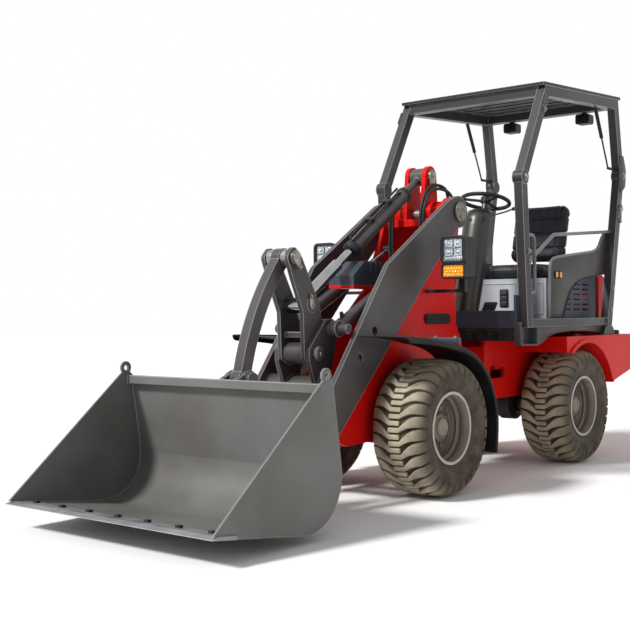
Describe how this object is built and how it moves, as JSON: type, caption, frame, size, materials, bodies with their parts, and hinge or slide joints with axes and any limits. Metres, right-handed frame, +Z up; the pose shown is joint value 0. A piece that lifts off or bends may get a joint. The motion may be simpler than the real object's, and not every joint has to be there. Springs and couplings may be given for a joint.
{
  "type": "compact articulated loader",
  "caption": "Compact wheel loader hinged in the middle, with a boom, lever linkage and bucket in front and a canopied driver's seat behind.",
  "frame": {"origin": "on the ground, at the middle of the machine's length and width", "axes": "+X forward to the bucket's lip, +Y to the operator's left, +Z up"},
  "size_m": [4.61, 1.418, 2.6467],
  "materials": {
    "red_paint": "gloss",
    "gunmetal_paint": "satin",
    "cowl_plastic": "moulded",
    "grey_tube": "satin",
    "edge_steel": "satin, worn at the lip",
    "axle_paint": "satin",
    "black_plastic": "moulded grain",
    "blue_grey_plastic": "moulded",
    "dark_panel": "satin",
    "pale_grey_panel": "moulded",
    "seat_vinyl": "vinyl grain",
    "chrome": "polished",
    "pin_steel": "turned",
    "engine_iron": "painted",
    "tyre_rubber": "matte, dusty",
    "rim_paint": "satin",
    "lamp_glass": "clear",
    "amber_lens": "gloss"
  },
  "bodies": {
    "rear_frame": {"rear_frame": "red_paint", "counterweight": "red_paint", "rear_axle": "axle_paint", "engine_block": "engine_iron", "platform": "blue_grey_plastic", "step_box_left": "dark_panel", "step_box_right": "dark_panel", "side_panel_left": "dark_panel", "side_panel_right": "dark_panel", "seat_base": "pale_grey_panel", "seat_cushion": "seat_vinyl", "seat_back": "seat_vinyl", "console": "black_plastic", "pedals": "black_plastic", "steering_column": "cowl_plastic", "rops_frame": "gunmetal_paint", "roof_panel": "gunmetal_paint", "work_lights": "black_plastic", "handrails": "grey_tube", "gas_struts": "black_plastic", "louvre_panels": "blue_grey_plastic"},
    "hood": {"engine_hood": "red_paint"},
    "steering_wheel": {"steering_wheel": "black_plastic"},
    "steer_barrel": {"steer_barrel": "gunmetal_paint"},
    "steer_rod": {"steer_rod": "chrome"},
    "front_frame": {"front_frame": "red_paint", "hinge_pins": "pin_steel", "boom_shaft": "pin_steel", "tower_pin": "pin_steel", "front_axle": "axle_paint", "mudguard_left": "black_plastic", "mudguard_right": "black_plastic", "headlights": "black_plastic", "headlight_lenses": "lamp_glass", "indicator_lenses": "amber_lens", "valve_cover": "blue_grey_plastic"},
    "boom": {"boom": "gunmetal_paint"},
    "bucket_pins": {"bucket_pins": "pin_steel"},
    "bucket": {"bucket": "gunmetal_paint", "cutting_edge": "edge_steel", "hitch": "gunmetal_paint"},
    "lever_pin": {"lever_pin": "pin_steel"},
    "lever": {"lever": "gunmetal_paint"},
    "link_pin": {"link_pin": "pin_steel"},
    "link": {"link": "gunmetal_paint"},
    "lift_barrels": {"lift_barrels": "gunmetal_paint"},
    "lift_rods": {"lift_rods": "chrome"},
    "tilt_barrel": {"tilt_barrel": "gunmetal_paint"},
    "tilt_rod": {"tilt_rod": "chrome"},
    "wheel_front_left": {"tyre_front_left": "tyre_rubber", "rim_front_left": "rim_paint"},
    "wheel_front_right": {"tyre_front_right": "tyre_rubber", "rim_front_right": "rim_paint"},
    "wheel_rear_left": {"tyre_rear_left": "tyre_rubber", "rim_rear_left": "rim_paint"},
    "wheel_rear_right": {"tyre_rear_right": "tyre_rubber", "rim_rear_right": "rim_paint"}
  },
  "joints": [
    {"name": "articulation", "type": "hinge", "parent": "rear_frame", "child": "front_frame", "pos_m": [-0.655, 0, 0.615], "axis": [0, 0, 1], "range_deg": [-40, 40]},
    {"name": "steer_swing", "type": "hinge", "parent": "rear_frame", "child": "steer_barrel", "pos_m": [-0.985, 0.11, 0.625], "axis": [0, 0, 1], "range_deg": [-13.81, 13.81]},
    {"name": "steer_extend", "type": "slide", "parent": "steer_barrel", "child": "steer_rod", "axis": [1, 0, 0], "range_m": [-0.0755, 0.0755]},
    {"name": "boom_lift", "type": "hinge", "parent": "front_frame", "child": "boom", "pos_m": [-0.355, 0, 1.68], "axis": [0, -1, 0], "range_deg": [0, 75]},
    {"name": "lift_swing", "type": "hinge", "parent": "boom", "child": "lift_barrels", "pos_m": [0.765, 0, 0.965], "axis": [0, -1, 0], "range_deg": [0, 5.3]},
    {"name": "lift_extend", "type": "slide", "parent": "lift_barrels", "child": "lift_rods", "axis": [-0.898, 0, 0.44], "range_m": [0, 0.2931]},
    {"name": "bucket_level", "type": "hinge", "parent": "boom", "child": "bucket_pins", "pos_m": [1.228, 0, 0.291], "axis": [0, 1, 0], "range_deg": [0, 75.05]},
    {"name": "bucket_tilt", "type": "hinge", "parent": "bucket_pins", "child": "bucket", "pos_m": [1.228, 0, 0.291], "axis": [0, 1, 0], "range_deg": [-35, 42]},
    {"name": "lever_level", "type": "hinge", "parent": "boom", "child": "lever_pin", "pos_m": [0.88, 0, 0.832], "axis": [0, 1, 0], "range_deg": [0, 61.48]},
    {"name": "lever_swing", "type": "hinge", "parent": "lever_pin", "child": "lever", "pos_m": [0.88, 0, 0.832], "axis": [0, 1, 0], "range_deg": [-26.67, 32]},
    {"name": "link_level", "type": "hinge", "parent": "lever", "child": "link_pin", "pos_m": [1.031, 0, 1.351], "axis": [0, -1, 0], "range_deg": [0, 53]},
    {"name": "link_swing", "type": "hinge", "parent": "link_pin", "child": "link", "pos_m": [1.031, 0, 1.351], "axis": [0, -1, 0], "range_deg": [-24.3, 29.15]},
    {"name": "tilt_swing", "type": "hinge", "parent": "front_frame", "child": "tilt_barrel", "pos_m": [-0.355, 0, 1.92], "axis": [0, -1, 0], "range_deg": [0, 74.76]},
    {"name": "tilt_extend", "type": "slide", "parent": "tilt_barrel", "child": "tilt_rod", "axis": [0.8333, 0, -0.5528], "range_m": [-0.1019, 0.1222]},
    {"name": "hood_open", "type": "hinge", "parent": "rear_frame", "child": "hood", "pos_m": [-2.061, 0, 1.345], "axis": [0, 1, 0], "range_deg": [0, 50]},
    {"name": "steering_wheel_turn", "type": "hinge", "parent": "rear_frame", "child": "steering_wheel", "pos_m": [-1.19, 0, 1.83], "axis": [-0.2464, 0, 0.9692], "continuous": true},
    {"name": "wheel_front_left_spin", "type": "hinge", "parent": "front_frame", "child": "wheel_front_left", "pos_m": [0.218, 0.435, 0.3935], "axis": [0, 1, 0], "continuous": true},
    {"name": "wheel_front_right_spin", "type": "hinge", "parent": "front_frame", "child": "wheel_front_right", "pos_m": [0.218, -0.435, 0.3935], "axis": [0, 1, 0], "continuous": true},
    {"name": "wheel_rear_left_spin", "type": "hinge", "parent": "rear_frame", "child": "wheel_rear_left", "pos_m": [-1.528, 0.435, 0.3935], "axis": [0, 1, 0], "continuous": true},
    {"name": "wheel_rear_right_spin", "type": "hinge", "parent": "rear_frame", "child": "wheel_rear_right", "pos_m": [-1.528, -0.435, 0.3935], "axis": [0, 1, 0], "continuous": true}
  ],
  "couplings": [
    {"joint": "bucket_level", "follows": "boom_lift", "ratio": 1},
    {"joint": "steer_swing", "follows": "articulation", "ratio": 0.344},
    {"joint": "steer_extend", "follows": "articulation", "m_per_rad": -0.1074},
    {"joint": "lift_swing", "follows": "boom_lift", "ratio": 0.07},
    {"joint": "lift_extend", "follows": "boom_lift", "m_per_rad": 0.2235},
    {"joint": "lever_level", "follows": "boom_lift", "ratio": 0.8191},
    {"joint": "lever_swing", "follows": "bucket_tilt", "ratio": 0.7606},
    {"joint": "link_level", "follows": "boom_lift", "ratio": 0.706},
    {"joint": "link_swing", "follows": "bucket_tilt", "ratio": 0.6929},
    {"joint": "tilt_swing", "follows": "boom_lift", "ratio": 0.9961},
    {"joint": "tilt_extend", "follows": "bucket_tilt", "m_per_rad": 0.166}
  ]
}
